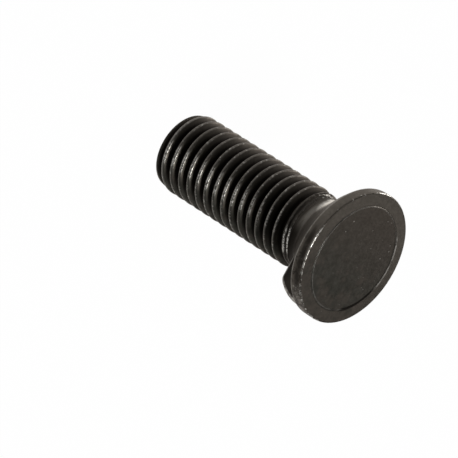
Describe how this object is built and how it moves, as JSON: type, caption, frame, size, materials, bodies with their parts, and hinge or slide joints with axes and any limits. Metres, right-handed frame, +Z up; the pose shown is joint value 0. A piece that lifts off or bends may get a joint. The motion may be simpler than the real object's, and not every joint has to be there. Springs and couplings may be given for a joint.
{
  "type": "plow bolt",
  "caption": "Flat countersunk plow bolt with a nib under its head and a short threaded shank, for fixing a share or point to a plow.",
  "frame": {"origin": "middle of the threaded end, on which the bolt stands", "axes": "+Z up the bolt's axis to the head's face, +X towards the nib"},
  "size_m": [0.0194, 0.0192, 0.0344],
  "materials": {
    "black_steel": "black oxide on forged steel, satin, worn bright along the edges"
  },
  "bodies": {
    "root": {"plow_bolt": "black_steel"}
  },
  "joints": []
}
